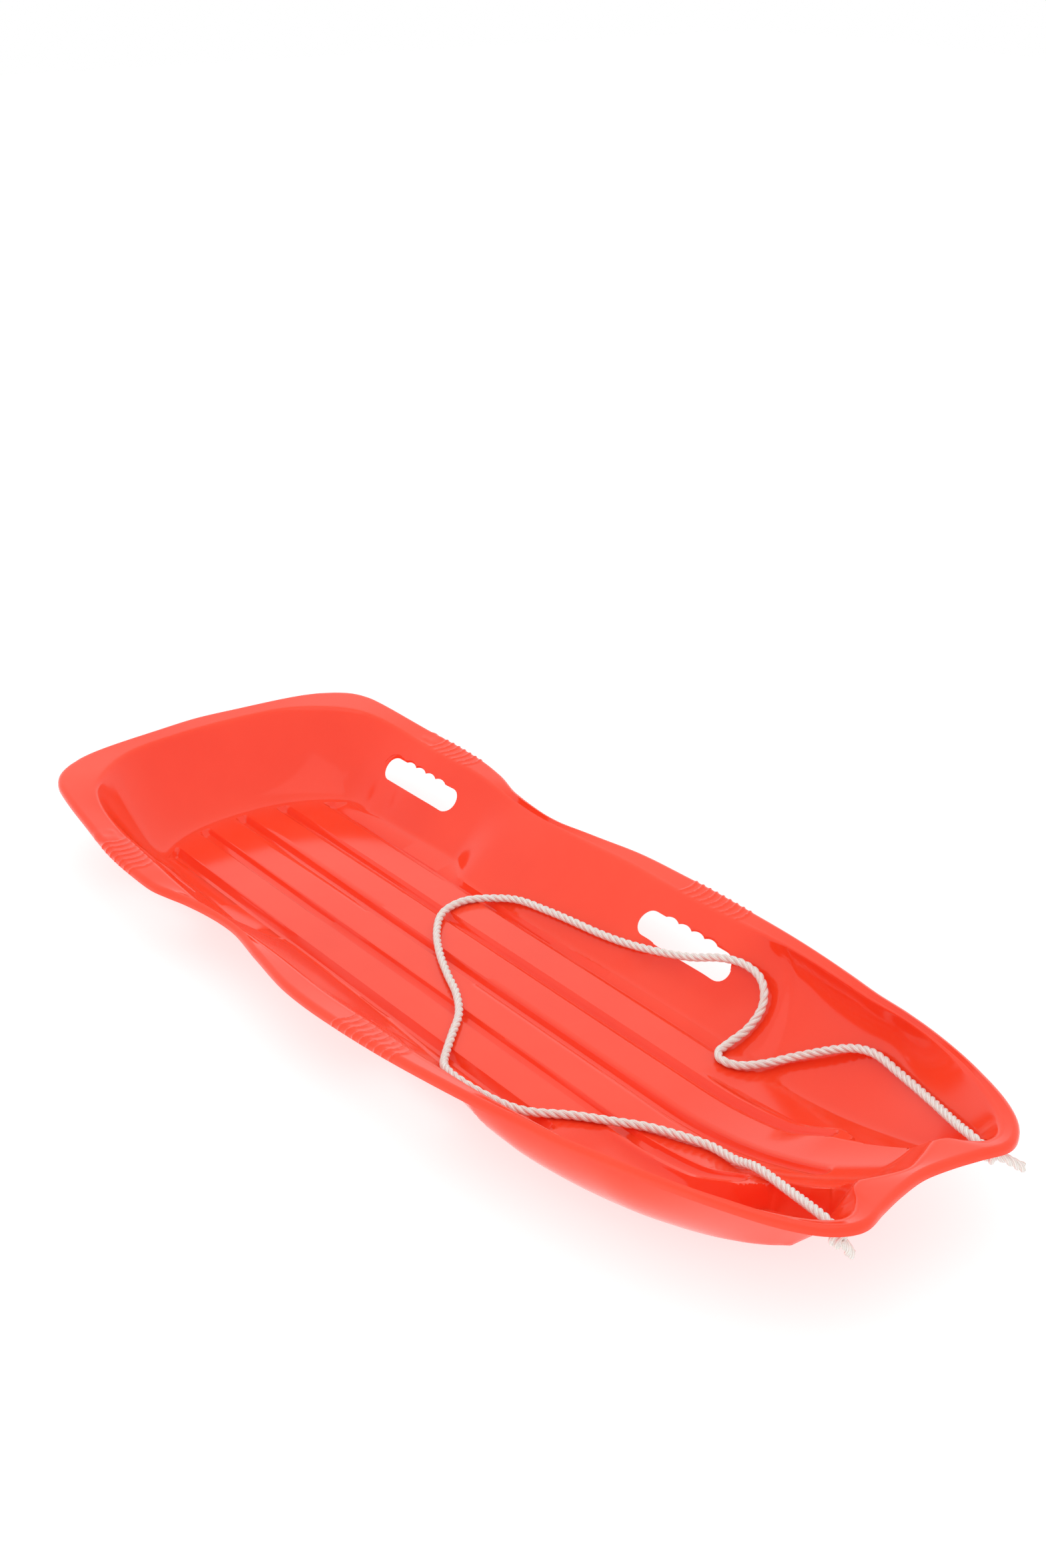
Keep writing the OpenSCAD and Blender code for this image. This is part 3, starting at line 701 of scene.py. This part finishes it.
def rope_material():
    m = bpy.data.materials.new("white_twisted_rope")
    m.use_nodes = True
    t = m.node_tree
    bsdf = t.nodes["Principled BSDF"]
    along = t.nodes.new("ShaderNodeAttribute")
    along.attribute_name = "along"
    around = t.nodes.new("ShaderNodeAttribute")
    around.attribute_name = "around"
    mul_a = t.nodes.new("ShaderNodeMath")
    mul_a.operation = "MULTIPLY"
    mul_a.inputs[1].default_value = 0.09
    mul_b = t.nodes.new("ShaderNodeMath")
    mul_b.operation = "MULTIPLY_ADD"
    mul_b.inputs[1].default_value = 7.0
    sine = t.nodes.new("ShaderNodeMath")
    sine.operation = "SINE"
    scale = t.nodes.new("ShaderNodeMath")
    scale.operation = "MULTIPLY"
    scale.inputs[1].default_value = 2 * math.pi
    t.links.new(along.outputs["Fac"], mul_a.inputs[0])
    t.links.new(around.outputs["Fac"], mul_b.inputs[0])
    t.links.new(mul_a.outputs[0], mul_b.inputs[2])
    t.links.new(mul_b.outputs[0], scale.inputs[0])
    t.links.new(scale.outputs[0], sine.inputs[0])
    where = t.nodes.new("ShaderNodeTexCoord")
    fuzz = node(t, "ShaderNodeTexNoise", Scale=900.0, Detail=3.0, Roughness=0.6)
    t.links.new(where.outputs["Object"], fuzz.inputs["Vector"])
    add = t.nodes.new("ShaderNodeMath")
    add.operation = "MULTIPLY_ADD"
    add.inputs[1].default_value = 0.35
    t.links.new(sine.outputs[0], add.inputs[0])
    t.links.new(fuzz.outputs["Fac"], add.inputs[2])
    bump = node(t, "ShaderNodeBump", Strength=0.35, Distance=0.0006)
    t.links.new(add.outputs[0], bump.inputs["Height"])
    t.links.new(bump.outputs["Normal"], bsdf.inputs["Normal"])
    # rope colour follows the yarn height: painted shade darkens the grooves between the yarns and the
    # crowns are lighter, with random fibre tone from the fuzz noise
    tint = colours(t, 0.0, (0.70, 0.62, 0.56), 0.8, (0.93, 0.90, 0.86))
    t.links.new(add.outputs[0], tint.inputs["Fac"])
    t.links.new(tint.outputs["Color"], bsdf.inputs["Base Color"])
    bsdf.inputs["Roughness"].default_value = 0.55
    bsdf.inputs["Subsurface Weight"].default_value = 0.2
    bsdf.inputs["Subsurface Radius"].default_value = (0.003, 0.002, 0.0015)
    return m


red, white = plastic(), rope_material()
hull.data.materials.clear()
hull.data.materials.append(red)
for o in [rope] + rope_pieces:
    o.data.materials.clear()
    o.data.materials.append(white)

# ---------------------------------------------------------------- camera, floor and light
AZ, EL, ROLL = math.radians(51.995), math.radians(25.153), math.radians(0.361)
EYE = (1.4368, -1.0778, 1.0875)
LENS_MM = 45.549191
back = Vector((math.sin(AZ) * math.cos(EL), -math.cos(AZ) * math.cos(EL), math.sin(EL)))
right = Vector((0, 0, 1)).cross(back).normalized()
up = back.cross(right)
right2 = right * math.cos(ROLL) + up * math.sin(ROLL)
up2 = -right * math.sin(ROLL) + up * math.cos(ROLL)
cam_data = bpy.data.cameras.new("camera")
cam_data.sensor_fit = "VERTICAL"
cam_data.sensor_height = 36.0
cam_data.lens = LENS_MM
camera = bpy.data.objects.new("camera", cam_data)
camera.matrix_world = Matrix(((right2.x, up2.x, back.x, EYE[0]), (right2.y, up2.y, back.y, EYE[1]),
                              (right2.z, up2.z, back.z, EYE[2]), (0, 0, 0, 1)))
bpy.context.scene.collection.objects.link(camera)
bpy.context.scene.camera = camera

floor_mesh = bpy.data.meshes.new("studio_floor")
floor_mesh.from_pydata([(-9, -9, 0), (9, -9, 0), (9, 9, 0), (-9, 9, 0)], [], [(0, 1, 2, 3)])
studio_floor = bpy.data.objects.new("studio_floor", floor_mesh)
bpy.context.scene.collection.objects.link(studio_floor)
paper = bpy.data.materials.new("paper")
paper.use_nodes = True
paper_shader = paper.node_tree.nodes["Principled BSDF"]
paper_shader.inputs["Base Color"].default_value = (0.5, 0.5, 0.5, 1)
paper_shader.inputs["Roughness"].default_value = 0.9
paper_shader.inputs["Specular IOR Level"].default_value = 0.0
paper_shader.inputs["Emission Color"].default_value = (1.0, 1.0, 1.0, 1)
paper_shader.inputs["Emission Strength"].default_value = 0.66
floor_mesh.materials.append(paper)

world = bpy.data.worlds.new("studio")
world.use_nodes = True
world.node_tree.nodes["Background"].inputs["Color"].default_value = (1.0, 1.0, 1.0, 1)
world.node_tree.nodes["Background"].inputs["Strength"].default_value = 1.0
bpy.context.scene.world = world


def area(name, place, target, size, power):
    data = bpy.data.lights.new(name, "AREA")
    data.shape = "RECTANGLE"
    data.size, data.size_y = size
    data.energy = power
    obj = bpy.data.objects.new(name, data)
    obj.location = place
    toward = Vector(target) - Vector(place)
    obj.rotation_euler = toward.to_track_quat("-Z", "Y").to_euler()
    bpy.context.scene.collection.objects.link(obj)


bpy.context.scene.view_settings.view_transform = "Standard"
area("key", (0.3, -0.6, 3.0), (0, 0, 0), (2.6, 2.6), 8)
